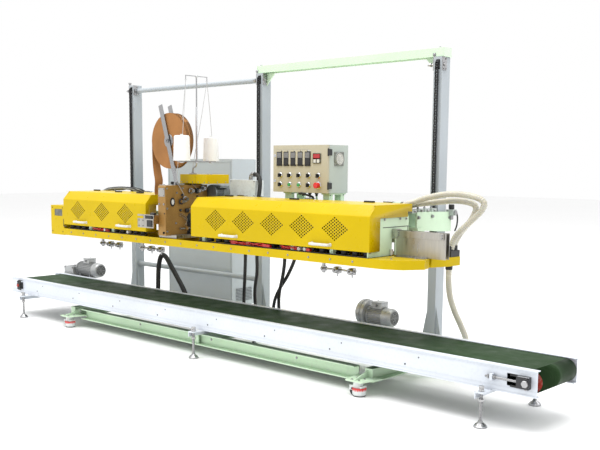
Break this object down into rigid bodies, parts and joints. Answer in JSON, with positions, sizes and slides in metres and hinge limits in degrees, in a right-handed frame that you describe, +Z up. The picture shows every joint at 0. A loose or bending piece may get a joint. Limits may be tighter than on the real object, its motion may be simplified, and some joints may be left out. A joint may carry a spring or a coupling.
{
  "type": "bag closer sewing machine",
  "caption": "Floor conveyor with a height-adjustable bag sewing head, hinged hoods, tape reel, thread cones and control box on chain-lifted posts.",
  "frame": {"origin": "centre of the footprint, at the floor", "axes": "+X along the conveyor towards the infeed end, +Y from the operator side to the posts, +Z up"},
  "size_m": [5.079, 1.257, 2.034],
  "materials": {
    "mint_paint": "satin mint green enamel",
    "yellow_paint": "gloss yellow powder coat",
    "post_grey": "satin blue-grey paint",
    "white_panel": "white coated aluminium profile",
    "cabinet_grey": "textured grey paint",
    "cream_paint": "textured cream paint",
    "green_belt": "matte green PVC belting",
    "black_rubber": "matte black",
    "black_plastic": "moulded black",
    "steel": "bare bright steel",
    "black_chain": "oiled roller chain",
    "cast_gold": "gold hammer paint on a casting",
    "motor_silver": "silver painted casting",
    "motor_dark": "dark grey painted casting",
    "kraft_tape": "crepe kraft paper",
    "thread": "white polyester thread",
    "clear_hose": "translucent cream hose",
    "red_plastic": "moulded red",
    "green_plastic": "moulded green",
    "drum_red": "red oxide paint",
    "caster_white": "white powder coat"
  },
  "bodies": {
    "frame": {"base_frame": "mint_paint", "post_left": "post_grey", "post_mid": "post_grey", "post_right": "post_grey", "top_tube": "post_grey", "lower_tube": "post_grey", "top_beam": "mint_paint", "chain_left": "black_chain", "chain_mid": "black_chain", "chain_right": "black_chain", "cabinet": "cabinet_grey", "conveyor_frame": "white_panel", "conveyor_belt": "green_belt", "conveyor_motor": "motor_silver", "suction_blower": "motor_silver", "lower_hose": "clear_hose", "cable_drop": "black_rubber", "arch_cable": "black_rubber"},
    "head": {"carriage": "mint_paint", "tray_front": "yellow_paint", "tray_rear": "yellow_paint", "front_carry_belt": "black_rubber", "rear_carry_belt": "black_rubber", "end_plate": "mint_paint", "infeed_guide": "steel", "sewing_head": "cast_gold", "belt_guard": "yellow_paint", "sewing_motor": "motor_dark", "tape_arms": "steel", "thread_stand": "steel", "cone_front": "thread", "cone_rear": "thread", "control_box": "cream_paint", "upper_hoses": "clear_hose"},
    "left_cover": {"left_cover": "yellow_paint"},
    "right_cover": {"right_cover": "yellow_paint"},
    "tape_roll": {"tape_roll": "kraft_tape"},
    "needle_bar": {"needle_bar": "steel"},
    "control_door": {"control_door": "cream_paint"},
    "sprocket_left": {"sprocket_left": "steel"},
    "sprocket_mid": {"sprocket_mid": "steel"},
    "sprocket_right": {"sprocket_right": "steel"},
    "drive_roller": {"drive_roller": "drum_red"},
    "take_up": {"take_up": "steel"},
    "tail_roller": {"tail_roller": "drum_red"},
    "cabinet_door": {"cabinet_door": "cabinet_grey"},
    "caster_front_left": {"caster_front_left": "caster_white"},
    "caster_front_right": {"caster_front_right": "caster_white"},
    "caster_rear_left": {"caster_rear_left": "caster_white"},
    "caster_rear_right": {"caster_rear_right": "caster_white"},
    "start_button": {"start_button": "green_plastic"},
    "run_button": {"run_button": "green_plastic"},
    "emergency_stop": {"emergency_stop": "red_plastic"},
    "selector_1": {"selector_1": "black_plastic"},
    "selector_2": {"selector_2": "black_plastic"},
    "selector_3": {"selector_3": "black_plastic"},
    "selector_4": {"selector_4": "black_plastic"},
    "selector_5": {"selector_5": "black_plastic"},
    "selector_6": {"selector_6": "black_plastic"},
    "selector_7": {"selector_7": "black_plastic"}
  },
  "joints": [
    {"name": "head_lift", "type": "slide", "parent": "frame", "child": "head", "axis": [0, 0, 1], "range_m": [-0.25, 0.35], "deforming": ["chain_left", "chain_mid", "chain_right", "lower_hose", "cable_drop"]},
    {"name": "left_cover_hinge", "type": "hinge", "parent": "head", "child": "left_cover", "pos_m": [-1.0925, -0.1505, 1.096], "axis": [-1, 0, 0], "range_deg": [0, 45]},
    {"name": "right_cover_hinge", "type": "hinge", "parent": "head", "child": "right_cover", "pos_m": [0.7165, -0.1505, 1.096], "axis": [-1, 0, 0], "range_deg": [0, 75]},
    {"name": "tape_roll_spin", "type": "hinge", "parent": "head", "child": "tape_roll", "pos_m": [-0.4045, -0.4235, 1.482], "axis": [0, 1, 0], "continuous": true},
    {"name": "needle_bar_stroke", "type": "slide", "parent": "head", "child": "needle_bar", "axis": [0, 1, 0], "range_m": [0, 0.03]},
    {"name": "control_door_hinge", "type": "hinge", "parent": "head", "child": "control_door", "pos_m": [0.8005, -0.1255, 1.294], "axis": [0, 0, -1], "range_deg": [-110, 0]},
    {"name": "sprocket_left_turn", "type": "hinge", "parent": "frame", "child": "sprocket_left", "pos_m": [-1.6595, 0.1695, 1.934], "axis": [1, 0, 0], "range_deg": [-720, 515]},
    {"name": "sprocket_mid_turn", "type": "hinge", "parent": "frame", "child": "sprocket_mid", "pos_m": [-0.1085, 0.1695, 1.934], "axis": [1, 0, 0], "range_deg": [-720, 515]},
    {"name": "sprocket_right_turn", "type": "hinge", "parent": "frame", "child": "sprocket_right", "pos_m": [1.4355, 0.1695, 1.934], "axis": [1, 0, 0], "range_deg": [-720, 515]},
    {"name": "drive_roller_spin", "type": "hinge", "parent": "frame", "child": "drive_roller", "pos_m": [-2.3875, -0.3055, 0.258], "axis": [0, 1, 0], "continuous": true},
    {"name": "belt_take_up", "type": "slide", "parent": "frame", "child": "take_up", "axis": [1, 0, 0], "range_m": [-0.03, 0]},
    {"name": "tail_roller_spin", "type": "hinge", "parent": "take_up", "child": "tail_roller", "pos_m": [2.4775, -0.3055, 0.258], "axis": [0, 1, 0], "continuous": true},
    {"name": "cabinet_door_hinge", "type": "hinge", "parent": "frame", "child": "cabinet_door", "pos_m": [-1.3535, 0.5565, 0.775], "axis": [0, 0, 1], "range_deg": [0, 110]},
    {"name": "caster_front_left_swivel", "type": "hinge", "parent": "frame", "child": "caster_front_left", "pos_m": [-1.5775, -0.5575, 0.088], "axis": [0, 0, 1], "continuous": true},
    {"name": "caster_front_right_swivel", "type": "hinge", "parent": "frame", "child": "caster_front_right", "pos_m": [1.4285, -0.5575, 0.088], "axis": [0, 0, 1], "continuous": true},
    {"name": "caster_rear_left_swivel", "type": "hinge", "parent": "frame", "child": "caster_rear_left", "pos_m": [-1.5775, 0.5805, 0.088], "axis": [0, 0, 1], "continuous": true},
    {"name": "caster_rear_right_swivel", "type": "hinge", "parent": "frame", "child": "caster_rear_right", "pos_m": [1.4285, 0.5805, 0.088], "axis": [0, 0, 1], "continuous": true},
    {"name": "selector_1_turn", "type": "hinge", "parent": "control_door", "child": "selector_1", "pos_m": [0.3785, -0.1255, 1.25], "axis": [0, 1, 0], "range_deg": [-45, 45]},
    {"name": "selector_2_turn", "type": "hinge", "parent": "control_door", "child": "selector_2", "pos_m": [0.464, -0.1255, 1.25], "axis": [0, 1, 0], "range_deg": [-45, 45]},
    {"name": "selector_3_turn", "type": "hinge", "parent": "control_door", "child": "selector_3", "pos_m": [0.5495, -0.1255, 1.25], "axis": [0, 1, 0], "range_deg": [-45, 45]},
    {"name": "selector_4_turn", "type": "hinge", "parent": "control_door", "child": "selector_4", "pos_m": [0.635, -0.1255, 1.25], "axis": [0, 1, 0], "range_deg": [-45, 45]},
    {"name": "selector_5_turn", "type": "hinge", "parent": "control_door", "child": "selector_5", "pos_m": [0.7205, -0.1255, 1.25], "axis": [0, 1, 0], "range_deg": [-45, 45]},
    {"name": "selector_6_turn", "type": "hinge", "parent": "control_door", "child": "selector_6", "pos_m": [0.3785, -0.1255, 1.188], "axis": [0, 1, 0], "range_deg": [-45, 45]},
    {"name": "selector_7_turn", "type": "hinge", "parent": "control_door", "child": "selector_7", "pos_m": [0.635, -0.1255, 1.188], "axis": [0, 1, 0], "range_deg": [-45, 45]},
    {"name": "start_button_press", "type": "slide", "parent": "control_door", "child": "start_button", "axis": [0, 1, 0], "range_m": [0, 0.004], "stiffness_N_per_m": 300},
    {"name": "run_button_press", "type": "slide", "parent": "control_door", "child": "run_button", "axis": [0, 1, 0], "range_m": [0, 0.004], "stiffness_N_per_m": 300},
    {"name": "emergency_stop_press", "type": "slide", "parent": "control_door", "child": "emergency_stop", "axis": [0, 1, 0], "range_m": [0, 0.004]}
  ],
  "couplings": [
    {"joint": "sprocket_left_turn", "follows": "head_lift", "rad_per_m": -35.714},
    {"joint": "sprocket_mid_turn", "follows": "head_lift", "rad_per_m": -35.714},
    {"joint": "sprocket_right_turn", "follows": "head_lift", "rad_per_m": -35.714},
    {"joint": "tail_roller_spin", "follows": "drive_roller_spin", "ratio": 1}
  ]
}
